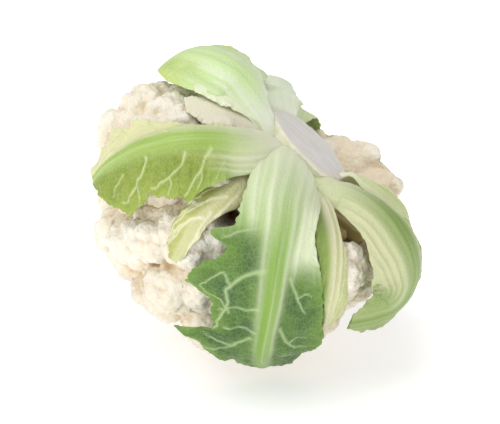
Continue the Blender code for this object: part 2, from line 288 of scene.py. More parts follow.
# The largest florets: azimuth, out and up of their direction, size, and how far out they reach.
BIG_FLORETS = np.array([
    (-168, 79, 8, 27, 79.6), (-150, 78, -6, 24, 79.6), (-155, 75, 26, 19, 79.6),
    (-116, 77, -18, 15, 79.6), (-101, 79, 0, 12.5, 82), (-127, 69, -39, 16, 79.6),
    (-94, 71, -35, 16, 79.6), (-46, 71, 33, 18, 83), (-52, 79, 8, 13, 82), (40, 60, 46, 20, 83),
    (65, 60, 46, 17, 83), (-20, 66, 42, 15, 81.5), (-171, 86, -3, 15, 87.5),
    (-174, 84, 14, 18, 85), (-141, 66, -48, 15, 81.5),
])
# The domes on the florets: how many, their size and its spread, how deep they sit, how far pushed.
KNOBS = (1000, 7.4, 1.0, 0.70, 0.85)
GRAINS = (3600, 3.6, 0.5, 0.68, 0.6)
GAP_BETWEEN_FLORETS = (-98, 76, 14)
GAP_OUT, GAP_WIDTH, GAP_DEPTH = 79, 6.0, 16
LOW_FLORETS = (-109, 52, -57)
ROOM_FOR_KNOBS = 2.2
HIGHER = np.array([0, 0, 12.0])  # directions are taken from this far under the head's centre


def even_directions(count, jitter, seed):
    """Directions spread evenly over a ball by the golden angle, then nudged at random."""
    rng = np.random.default_rng(seed)
    index = np.arange(count) + 0.5
    up = 1 - 2 * index / count
    ring = np.sqrt(1 - up**2)
    spread = np.stack([ring * np.cos(2.399963 * index), ring * np.sin(2.399963 * index), up], 1)
    return unit(spread + rng.normal(scale=jitter * 3.5 / math.sqrt(count), size=spread.shape))


def rim_lift(azimuth):
    """Change of the rim's height: -1 + 8 cos(az + 10) + sum of c exp(-((az - m)/w)^2) of RIM_CHANGES."""
    lift = -1 + 8 * np.cos(np.radians(azimuth + 10))
    for middle, width, change in RIM_CHANGES:
        away = (azimuth - middle + 180) % 360 - 180
        lift = lift + change * np.exp(-((away / width) ** 2))
    return lift


def domes(points, centres, radii, sink):
    """Height of the highest dome over each point: max_j sqrt(r_j^2 - d_ij^2) - sink r_j."""
    best = np.full(len(points), -1e9, np.float32)
    centres = centres.astype(np.float32)
    radii = radii.astype(np.float32)
    for start in range(0, len(points), 6000):
        some = points[start : start + 6000].astype(np.float32)
        square = (some**2).sum(1)[:, None] + (centres**2).sum(1)[None] - 2 * some @ centres.T
        cap = np.sqrt(np.maximum(radii**2 - square, 0)) - sink * radii
        best[start : start + 6000] = cap.max(1)
    return best


def ball_table(rows_above, rows_below, columns):
    """Rows along the curd's profile, evenly spaced, from the crown round the rim into the hollow."""
    fine = np.linspace(0, 1, 2000)
    line = through(CURD_PROFILE, fine)
    length = np.concatenate([[0], np.cumsum(np.linalg.norm(np.diff(line, axis=0), axis=1))])
    rim = float(np.interp(0.66, fine, length))
    above = np.linspace(0, rim, rows_above)
    below = np.linspace(rim, length[-1], rows_below + 1)[1:]
    marks = np.concatenate([above, below])
    along = np.interp(marks, length, fine)
    azimuth = np.arange(columns) * 360 / columns
    return along, azimuth


along, azimuth = ball_table(*CURD_GRID)
profile = through(CURD_PROFILE, along)
tangent = unit(through(CURD_PROFILE, along + 1e-3) - through(CURD_PROFILE, along - 1e-3))
around = np.radians(azimuth)[None, :]
radial = np.stack([np.cos(around), np.sin(around), 0 * around], -1)
ball = profile[:, :1, None] * radial
ball[..., 2] = profile[:, 1:2]
ball[..., 2] += rim_lift(azimuth)[None, :] * np.exp(-(((along - 0.60) / 0.13) ** 2))[:, None]
skyward = tangent[:, 1:2, None] * radial
skyward[..., 2] = -tangent[:, :1]
in_hollow = smooth(0.66, 0.76, along)[:, None] * np.ones(len(azimuth))
deep_in_hollow = smooth(0.70, 0.84, along)[:, None] * np.ones(len(azimuth))

# Florets: balls set round the head, and the skin is the outermost of them along each direction.
rng = np.random.default_rng(11)
floret_ways = even_directions(FLORETS, 0.16, 5)
floret_sizes = rng.uniform(*FLORET_SIZES, len(floret_ways))
hearts_out = FLORET_REACH - floret_sizes + rng.uniform(-1.5, 0.5, len(floret_ways))
floret_hearts = floret_ways * hearts_out[:, None]
big_ways = unit(from_azimuth(BIG_FLORETS[:, :3]))
floret_hearts = np.vstack([floret_hearts, big_ways * (BIG_FLORETS[:, 4:] - BIG_FLORETS[:, 3:4])])
floret_sizes = np.concatenate([floret_sizes, BIG_FLORETS[:, 3]])
looks = unit(ball + HIGHER).reshape(-1, 3)
toward = looks @ floret_hearts.T
reach = toward**2 - (floret_hearts**2).sum(1) + floret_sizes**2
envelope = np.where(reach > 0, toward + np.sqrt(np.maximum(reach, 0)), 0).max(1)
floret_drop = np.clip(envelope, 68.5, 88) - FLORET_REACH
low_at = unit(from_azimuth([LOW_FLORETS]))[0]
floret_drop -= 3 * np.exp(-(((1 - looks @ low_at) / 0.05) ** 2))
floret_drop = floret_drop.reshape(ball.shape[:2]) * (1 - in_hollow) - ROOM_FOR_KNOBS
curd = ball + skyward * floret_drop[..., None]


def grow(table, count, size, spread, sink, amount, seed, still):
    """The table pushed along its own normals by domes centred on it: p + n amount h(p)."""
    ways = even_directions(count, 0.18, seed)
    flat = table.reshape(-1, 3)
    base = unit(ball.reshape(-1, 3) + HIGHER)
    parts = [np.argmax(base @ ways[k : k + 200].T, axis=0) for k in range(0, count, 200)]
    nearest = np.concatenate(parts)
    sizes = np.random.default_rng(seed + 1).uniform(size - spread, size + spread, count)
    height = np.maximum(domes(flat, flat[nearest], sizes, sink), -0.35 * size)
    height = height.reshape(table.shape[:2]) * still
    normal = outward_of(table)
    normal *= np.sign((normal * skyward).sum(-1, keepdims=True) + 1e-9)
    return table + normal * (amount * height)[..., None], height


on_top = 1 - smooth(0.76, 0.88, along)[:, None] * np.ones(len(azimuth))
curd, knobs = grow(curd, *KNOBS, 21, on_top)
curd, grains = grow(curd, *GRAINS, 31, on_top)

# A gap between two florets, under the stalk, looks into the dark inside; the shade deep in it is painted
# on as a dark brown.
gap_at = unit(from_azimuth([GAP_BETWEEN_FLORETS]))[0] * GAP_OUT
pit = np.exp(-((np.linalg.norm(ball - gap_at, axis=-1) / GAP_WIDTH) ** 4)) * on_top
curd = curd - skyward * (GAP_DEPTH * pit)[..., None]

# The florets it lies on are pressed level by its weight.
depth = curd @ down
curd = curd - np.maximum(depth - (CURD_RADIUS - FLAT_SPOT_DEPTH), 0)[..., None] * down
curd[0] = curd[0].mean(0)
curd[-1] = curd[-1].mean(0)
rows, columns = curd.shape[:2]
points = np.concatenate([curd[:1, 0], curd[1:-1].reshape(-1, 3), curd[-1:, 0]])
quads = rows_to_quads(rows - 2, columns, True, 1)
ring = np.arange(columns)
after = (ring + 1) % columns
crown = np.stack([0 * ring, 1 + after, 1 + ring, 1 + ring], 1)
last = 1 + (rows - 3) * columns
middle = 0 * ring + len(points) - 1
floor_cap = np.stack([last + ring, last + after, middle, middle], 1)
quads = np.concatenate([crown[:, [0, 1, 2, 2]], quads[:, ::-1], floor_cap[:, [0, 1, 2, 2]]])


def per_point(table):
    """One value a point, in the order of the curd's points."""
    return np.concatenate([table[:1, 0], table[1:-1].ravel(), table[-1:, 0]])


# Painted shade: the creases between florets, knobs and grains are coloured darker and warmer, as shade
# falls there.
crevice_shade = smooth(-4.5, -10, floret_drop) * 0.6 + smooth(0.5, -0.9, knobs) * 0.42 * on_top
crevice_shade = np.clip(crevice_shade + smooth(0.3, -0.5, grains) * 0.12 * on_top, 0, 1)
masks = {"crevice_shade": per_point(crevice_shade), "hollow_shade": per_point(deep_in_hollow), "gap_shade": per_point(pit)}
print("curd reach", np.linalg.norm(points, axis=1).max())
curd_piece = piece_of("curd_visual", points, quads, masks, "curd")

# %% Curd's material
skin = Shader("curd_skin", 0.55, 0.25, (2.2, 1.6, 0.9))
place = skin.place()
drift = skin.noise(place, 26.0)
colour = skin.mix(skin.ramp(drift, 0.35, 0.7), tint(244, 239, 227), tint(236, 228, 209))
colour = skin.mix(skin.ramp(skin.noise(place, 9.0), 0.45, 0.75, 0, 0.4), colour, tint(236, 220, 184))
# Painted shade in the creases.
colour = skin.mix(skin.sum("MULTIPLY", skin.mask("crevice_shade"), 0.65), colour, tint(226, 198, 150))
# Painted shade: the hollow under the florets is coloured a darker tan.
colour = skin.mix(skin.mask("hollow_shade"), colour, tint(204, 176, 128))
# Painted shade: the floor of the gap between florets is coloured dark brown.
colour = skin.mix(skin.mask("gap_shade"), colour, tint(84, 56, 20))
grain = skin.cells(place, 420.0)
fine = skin.cells(place, 900.0)
normal = skin.bump(skin.sum("MULTIPLY", grain, -1.0), 0.0012, 0.55)
normal = skin.bump(skin.sum("MULTIPLY", fine, -1.0), 0.0005, 0.45, normal)
curd_piece.data.materials.append(skin.finish(colour, normal))

# %% [markdown]
# ## The stalk
# The knife has left a flat face, pale and wet, with the fibres showing as faint streaks. Below it
# the trunk forks into short branches that fan out under the florets. The trunk is a turned profile
# with an uneven rim, and each branch is a tube along a curve; all of them share one skin's material,
# which paints shade on the branches, browner the farther out they reach under the florets.

# %% Stalk
BRANCHES = 12
TRUNK = [
    (0, 47.2), (8, 47.3), (16, 47.1), (22.6, 46.9), (24.3, 45.9), (24.1, 42), (23.0, 37),
    (22.6, 31), (24, 26), (27, 21), (25, 15), (14, 11.2), (0, 10.2),
]
LIP_AZIMUTH, LIP_WIDTH = -52, 26
CUT_ABOVE, CUT_RADIUS = 46.2, 25


def turned(profile_points, rows, columns):
    """A closed turned body: rows x columns points of (r cos, r sin, z), the ends drawn to one point."""
    fine = np.linspace(0, 1, 1500)
    line = through(profile_points, fine)
    length = np.concatenate([[0], np.cumsum(np.linalg.norm(np.diff(line, axis=0), axis=1))])
    line = through(profile_points, np.interp(np.linspace(0, length[-1], rows), length, fine))
    around = np.arange(columns) * 2 * math.pi / columns
    table = line[:, :1, None] * np.stack([np.cos(around), np.sin(around), 0 * around], -1)[None]
    table[..., 2] = line[:, 1:2]
    return table


def capped(table):
    """Points and quads of a ring table whose first and last rows are closed by a middle point."""
    rows, columns = table.shape[:2]
    points = np.concatenate([table.reshape(-1, 3), [table[0].mean(0)], [table[-1].mean(0)]])
    ring = np.arange(columns)
    after = (ring + 1) % columns
    first, last = rows * columns, rows * columns + 1
    low = (rows - 1) * columns
    start = np.stack([0 * ring + first, after, ring, ring], 1)
    end = np.stack([0 * ring + last, low + ring, low + after, low + after], 1)
    return points, np.concatenate([start, rows_to_quads(rows, columns, True), end])


def tube(path, widths, rows, columns):
    """A closed tube: circles of the given radius square to a smooth path, p + r (u cos + v sin)."""
    along = np.linspace(0, 1, rows)
    line = through(path, along)
    ahead = unit(np.gradient(line, axis=0))
    side = unit(np.cross(ahead, np.array([0.0, 0.0, 1.0]) + 0 * ahead))
    above = np.cross(side, ahead)
    around = np.arange(columns) * 2 * math.pi / columns
    round_end = np.sqrt(np.clip(1 - np.clip((along - 0.94) / 0.06, 0, 1) ** 2, 0.02, 1))
    radius = through(widths, along)[:, 0] * round_end
    ring = side[:, None] * np.cos(around)[None, :, None] + above[:, None] * np.sin(around)[None, :, None]
    return line[:, None] + ring * radius[:, None, None]


def joined(bodies):
    """Several closed bodies as one list of points and quads."""
    points, quads, count = [], [], 0
    for body_points, body_quads in bodies:
        points.append(body_points)
        quads.append(body_quads + count)
        count += len(body_points)
    return np.concatenate(points), np.concatenate(quads)


def facing_out(points, quads):
    """The quads turned over if the body they close has a negative volume."""
    a, b, c = points[quads[:, 0]], points[quads[:, 1]], points[quads[:, 2]]
    d = points[quads[:, 3]]
    volume = np.einsum("ij,ij->i", a, np.cross(b, c)).sum()
    volume += np.einsum("ij,ij->i", a, np.cross(c, d)).sum()
    return quads if volume > 0 else quads[:, [3, 2, 1, 0]]


trunk = turned(TRUNK, 150, 200)
uneven = ripples(trunk, 26, 3) * 0.7 + ripples(trunk, 7, 4) * 0.12
below_cut = smooth(46.6, 44.0, trunk[..., 2])
out_of_trunk = trunk * [1, 1, 0]
trunk += unit(out_of_trunk) * (uneven * (0.35 + 0.65 * below_cut))[..., None]
# A torn lip of the trunk's skin hangs out under the cut, on the side of the front leaf.
way = np.degrees(np.arctan2(trunk[..., 1], trunk[..., 0]))
lip = np.exp(-(((way - LIP_AZIMUTH) / LIP_WIDTH) ** 4)) * smooth(36, 41, trunk[..., 2])
lip *= smooth(46.9, 45.5, trunk[..., 2])
trunk += unit(out_of_trunk) * (lip * (1.6 + 0.8 * ripples(trunk, 5, 9)))[..., None]
trunk[..., 2] += 0.18 * ripples(trunk, 9, 6) * (1 - below_cut) * (trunk[..., 2] > 40)
bodies = [capped(trunk)]
rng = np.random.default_rng(8)
for number in range(BRANCHES):
    way = -170 + 30 * number + rng.uniform(-7, 7)
    rise = min(float(rim_lift(np.array(way))), 3.0)
    root = [
        (way, 12, 20), (way + 2, 24, 24), (way + 1, 38, 27 + 0.3 * rise),
        (way - 2, 52, 31 + 0.7 * rise),
    ]
    thick = rng.uniform(5.2, 6.8)
    widths = [thick + 1.5, thick, thick * 0.8, thick * 0.7]
    bodies.append(capped(tube(from_azimuth(root), widths, 26, 20)))
    for side in (-1, 1):
        tip = way + side * rng.uniform(9, 13)
        fork = [
            (way, 30, 25 + 0.2 * rise), (way + side * 4, 42, 28 + 0.5 * rise),
            (tip, 56, 32 + 0.85 * rise),
        ]
        bodies.append(capped(tube(from_azimuth(fork), [4.4, 3.8, 3.2], 18, 14)))
bodies = [(p, facing_out(p, q)) for p, q in bodies]
points, quads = joined(bodies)
out = np.hypot(points[:, 0], points[:, 1])
cut = (points[:, 2] > CUT_ABOVE) & (out < CUT_RADIUS)
rim = smooth(20.5, 24.5, out) * cut
# Painted shade: how far out a branch reaches under the florets, where shade falls.
deep = smooth(26, 36, out)
masks = {"cut": cut.astype(float), "rim": rim, "deep": deep, "flat": points * 1.0}
stalk_piece = piece_of("stalk_visual", points, quads, masks, "stalk")

# %% Stalk's material
wood = Shader("stalk_flesh", 0.38, 0.3, (2.0, 1.8, 1.2))
flat = wood.vector("flat")
streaks = wood.noise(wood.stretch(flat, (0.10, 0.9, 0.2)), 1.0)
spots = wood.noise(flat, 0.22)
bark = wood.mix(wood.ramp(spots, 0.35, 0.7), tint(232, 231, 214), tint(220, 218, 190))
cut_face = wood.mix(wood.ramp(streaks, 0.35, 0.7), tint(228, 224, 219), tint(212, 208, 202))
cut_face = wood.mix(wood.sum("MULTIPLY", wood.mask("rim"), 0.6), cut_face, tint(228, 214, 196))
# Painted shade: the branches darken to brown the farther out they reach under the florets.
bark = wood.mix(wood.mask("deep"), bark, tint(206, 184, 134))
colour = wood.mix(wood.mask("cut"), bark, cut_face)
stalk_piece.data.materials.append(wood.finish(colour, wood.bump(streaks, 0.0006, 0.35)))

# %% [markdown]
# ## The leaves
# A wrapper leaf is a thick, ribbed stem that flattens into a thin blade and curls round the head.
# Here the rib is a smooth line given as azimuth, out and up, and each row across the leaf is an arc
# square to it, so the blade follows the head. The rib's swelling, the flutes in it, the veins, the
# puckers between them and the toothed rim are all small heights or widths added to that sheet.

# %% Leaf surface
BLADE = 0.8


def vein_lines(leaf, half_left, half_right, length, rng):
    """Points of every vein as (across, along, half-width) in mm on the leaf laid flat.

    A vein starts on the rib at one place and reaches the rim at a later one; its place along is
    s0 + (s1 - s0) t^1.3 as its reach across grows as t^0.85. Two forks leave it on the way.
    """
    lines = []
    for side, half, key in ((-1, half_left, "veins_left"), (1, half_right, "veins_right")):
        for begin, end in leaf.get(key, ()):
            t = np.linspace(0, 1, 30)
            wave = 0.012 * np.sin(t * rng.uniform(5, 9) + rng.uniform(0, 6))
            s = begin + (end - begin) * t**1.3 + wave * t
            reach = t**0.85
            lines.append((side, s, reach, 0.95 - 0.6 * t))
            first_fork = rng.uniform(0.30, 0.42), rng.uniform(0.07, 0.11)
            second_fork = rng.uniform(0.5, 0.65), -rng.uniform(0.05, 0.09)
            for leave, drift in (first_fork, second_fork):
                u = np.linspace(0, 1, 16)
                t_fork = leave + (1 - leave) * u
                s_fork = begin + (end - begin) * t_fork**1.3 + drift * u**0.9
                s_fork += 0.01 * np.sin(u * 9 + begin * 40)
                lines.append((side, s_fork, t_fork**0.85, (0.85 - 0.45 * leave) * (1 - 0.6 * u)))
                v = np.linspace(0, 1, 10)
                t_twig = leave + (1 - leave) * (0.45 + 0.4 * v)
                s_twig = begin + (end - begin) * t_twig**1.3 + drift * (0.45 + 0.1 * v) ** 0.9
                s_twig -= np.sign(drift) * 0.05 * v
                lines.append((side, s_twig, t_twig**0.85, 0.42 * (1 - 0.5 * v)))
    for side, width, points in leaf.get("drawn_veins", ()):
        t = np.linspace(0, 1, 24)
        line = through(points, t)
        lines.append((side, line[:, 1], line[:, 0], width * (1 - 0.55 * t)))
    along = np.linspace(0, 1, len(half_left))
    rows = []
    for side, s, reach, width in lines:
        half = np.interp(s, along, half_left if side < 0 else half_right)
        line = np.stack([side * reach * half * 0.97, s * length, width], 1)
        rows.append(np.concatenate([line[:-1], line[1:]], 1))
    return np.concatenate(rows) if rows else np.zeros((0, 6))


def near_lines(across, along, lines):
    """Strongest exp(-(d / w)^2) over the veins' segments, and the distance to the nearest in mm."""
    flat = np.stack([across.ravel(), along.ravel()], 1).astype(np.float32)
    mark, gap = np.zeros(len(flat), np.float32), np.full(len(flat), 60.0, np.float32)
    if not len(lines):
        return mark.reshape(across.shape), gap.reshape(across.shape)
    lines = lines.astype(np.float32)
    start, step = lines[:, :2], lines[:, 3:5] - lines[:, :2]
    square = np.maximum((step**2).sum(1), 1e-6)
    for k in range(0, len(flat), 4000):
        some = flat[k : k + 4000, None]
        part = np.clip(((some - start) * step).sum(2) / square, 0, 1)
        away = some - start - part[..., None] * step
        distance = np.sqrt((away**2).sum(2))
        width = lines[:, 2] + (lines[:, 5] - lines[:, 2]) * part
        mark[k : k + 4000] = np.exp(-((distance / width) ** 2)).max(1)
        gap[k : k + 4000] = distance.min(1)
    return mark.reshape(across.shape), gap.reshape(across.shape)


def leaf_surface(leaf, rows, columns, seed):
    """The leaf as a front and a back table of points, with its masks.

    Row centre P(s), b = N x T, arc a = q w(s), bend radius R = |P| / wrap:
    sheet = P + b R sin(a/R) - N R (1 - cos(a/R)); front = sheet + n (blade + rib + flutes + veins).
    """
    rng = np.random.default_rng(seed)
    s = np.linspace(0, 1, rows)
    rib = from_azimuth(leaf["rib"])
    middle = through(rib, s)
    ahead = unit(through(rib, s + 2e-3) - through(rib, s - 2e-3))
    outward = unit(middle)
    outward = unit(outward - (outward * ahead).sum(1, keepdims=True) * ahead)
    aside = np.cross(outward, ahead)
    length = float(np.linalg.norm(np.diff(middle, axis=0), axis=1).sum())
    u = np.linspace(-1, 1, columns)
    q = np.sign(u) * np.abs(u) ** 1.2
    left, right = through(leaf["left"], s)[:, 0], through(leaf["right"], s)[:, 0]
    rims = [np.stack([s * length, 0 * s + 50 * side], 1) for side in (0, 1)]
    rim_noise = [ripples(rim, 15, seed + 3) for rim in rims]
    teeth = [ripples(rim, 4.2, seed + 4) for rim in rims]
    ragged = leaf.get("ragged", 0.06) * smooth(0.22, 0.45, s)
    left = left * (1 + ragged * (rim_noise[0] + 0.35 * teeth[0]))
    ragged = ragged * leaf.get("ragged_right", 1.0)
    right = right * (1 + ragged * (rim_noise[1] + 0.35 * teeth[1]))
    arc = np.where(q[None] < 0, q[None] * left[:, None], q[None] * right[:, None])
    place = s[:, None] + 0 * arc
    bend = (np.linalg.norm(middle, axis=1) / through(leaf["wrap"], s)[:, 0])[:, None, None]
    angle = arc[..., None] / bend
    sheet = middle[:, None] + aside[:, None] * bend * np.sin(angle)
    sheet = sheet - outward[:, None] * bend * (1 - np.cos(angle))
    normal = outward[:, None] * np.cos(angle) + aside[:, None] * np.sin(angle)
    along = place * length
    lines = vein_lines(leaf, left, right, length, rng)
    vein, gap = near_lines(arc, along, lines)
    spread = through(leaf["rib_spread"], s)[:, 0][:, None]
    height = through(leaf["rib_height"], s)[:, 0][:, None]
    on_rib = np.exp(-((np.abs(arc) / spread) ** 2.8))
    leafy = smooth(*leaf["blade_from"], place)
    late = smooth(*leaf.get("blade_from_right", leaf["blade_from"]), place)
    leafy = np.where(q[None] > 0, late, leafy) * (1 - on_rib)
    tall = height * on_rib
    flute = leaf.get("flutes", 0.2) * np.cos(arc * 2 * math.pi / leaf.get("flute_gap", 5.5) + 0.5)
    flute = flute * np.exp(-((arc / (1.9 * spread)) ** 2)) * smooth(1.02, 0.55, place)
    pale_ridge_and_highlight = 0 * arc
    # Each ridge is raised and painted pale; on leaf_left the ridge along the rib's upper edge is also a
    # painted highlight.
    for offset, size, wide, first, last in leaf.get("ridges", ()):
        fade = smooth(first - 0.08, first + 0.05, place) * smooth(last + 0.1, last - 0.05, place)
        ridge = np.exp(-(((arc - offset * (1.1 - 0.35 * place)) / wide) ** 2)) * fade
        tall = tall + size * ridge
        pale_ridge_and_highlight = np.maximum(pale_ridge_and_highlight, ridge)
    first, last = leaf.get("pale_right", (0.0, 0.001))
    until = smooth(*leaf.get("left_side_until", (3.0, 2.0)), place)
    pale_right = 0.85 * smooth(last, first, place) * smooth(0.5 * spread, 1.2 * spread, arc)
    flat_place = np.stack([arc, along], -1)
    rumple = ripples(flat_place, 17, seed + 1) * leaf.get("rumple", 1.0) * leafy
    edge = np.abs(q)[None] ** 4
    ruffle = ripples(flat_place, 11, seed + 2) * leaf.get("ruffle", 1.2) * edge * smooth(0.3, 0.6, place)
    pucker = leaf.get("pucker", 0.9) * (1 - np.exp(-((gap / 4.0) ** 2))) * leafy
    fine = 0.12 * ripples(flat_place, 3.0, seed + 5) * leafy
    sheet = sheet + normal * (rumple + ruffle)[..., None]
    # Thin to a soft edge at the rim.
    rim_thin = 1 - 0.6 * np.abs(q)[None] ** 12
    thick = BLADE * rim_thin + tall + flute + pucker + fine + 0.45 * vein * leafy
    front = sheet + normal * thick[..., None]
    back = sheet + normal * (pucker * 0.8 + 0.1 * vein)[..., None]
    masks = {
        "leafy": leafy,
        "vein": vein * smooth(leaf["blade_from"][0] - 0.05, leaf["blade_from"][1], place),
        "edge": np.abs(q)[None] ** 6 + 0 * place,
        "base": np.maximum(smooth(leaf.get("pale_until", 0.4), 0.05, place), pale_right),
        "line": pale_ridge_and_highlight,
        "left": smooth(0.4 * spread, 1.3 * spread, -arc) * smooth(0.1, 0.3, place) * until,
        "flat": np.stack([arc, along, 0 * arc], -1),
    }
    return front, back, masks


def make_leaf(name, leaf, material, seed):
    """Builds one leaf's closed skin and gives it its material."""
    front, back, masks = leaf_surface(leaf, *leaf["size"], seed)
    points, quads = sheet_with_back(front, back)
    quads = facing_out(points, quads)
    flat = {key: value.reshape(-1, *value.shape[2:]) for key, value in masks.items()}
    twice = {key: np.concatenate([value, value]) for key, value in flat.items()}
    made = piece_of(name + "_visual", points, quads, twice, name)
    made.data.materials.append(material)
    return made


def leaf_material(name, look):
    """The leaf's skin: pale at the base and rib, green in the blade, with lighter veins and rim."""
    parts = ("pale", "rib", "green", "deep", "vein", "rim")
    pale, rib, green, deep, vein, rim = (tint(*look[part]) for part in parts)
    skin = Shader(name, 0.42, 0.15, (0.8, 1.2, 0.4))
    flat = skin.vector("flat")
    long_streaks = skin.noise(skin.stretch(flat, (0.55, 0.012, 1.0)), 1.0, 3.0)
    wide_streaks = skin.noise(skin.stretch(flat, (0.16, 0.006, 1.0)), 1.0, 2.0)
    cloud = skin.noise(flat, 0.07, 4.0)
    speck = skin.noise(flat, 0.9, 2.0)
    stem = skin.mix(skin.ramp(long_streaks, 0.42, 0.72, 0, 0.28), rib, pale)
    stem = skin.mix(skin.ramp(wide_streaks, 0.40, 0.66, 0, 0.25), stem, pale)
    stem = skin.mix(skin.mask("base"), stem, pale)
    # Pale ridge lines: real pale ridges, and on leaf_left a painted highlight along the rib's upper
    # edge.
    stem = skin.mix(skin.sum("MULTIPLY", skin.mask("line"), 0.5), stem, pale)
    blade = skin.mix(skin.ramp(cloud, 0.35, 0.65), green, deep)
    blade = skin.mix(skin.ramp(speck, 0.35, 0.75, 0, 0.1), blade, vein)
    net = skin.cells(flat, 0.42, "DISTANCE_TO_EDGE")
    blade = skin.mix(skin.ramp(net, 0.0, 0.12, 0.14, 0.0), blade, vein)
    blade = skin.mix(skin.sum("MULTIPLY", skin.mask("edge"), 0.45), blade, rim)
    colour = skin.mix(skin.mask("leafy"), stem, blade)
    if "left_side" in look:
        shade = skin.sum("MULTIPLY", skin.mask("left"), 0.8)
        colour = skin.mix(shade, colour, tint(*look["left_side"]))
    colour = skin.mix(skin.sum("MULTIPLY", skin.mask("vein"), 0.8), colour, vein)
    fibres = skin.sum("MULTIPLY", long_streaks, 0.8)
    height = skin.sum("ADD", skin.ramp(net, 0.0, 0.22, 0, 0.6), fibres)
    return skin.finish(colour, skin.bump(height, 0.0004, 0.5))


# %% [markdown]
# ## Each leaf in its place
# Outer leaves start high on the stalk and lie over the inner ones, which start nearer the curd.

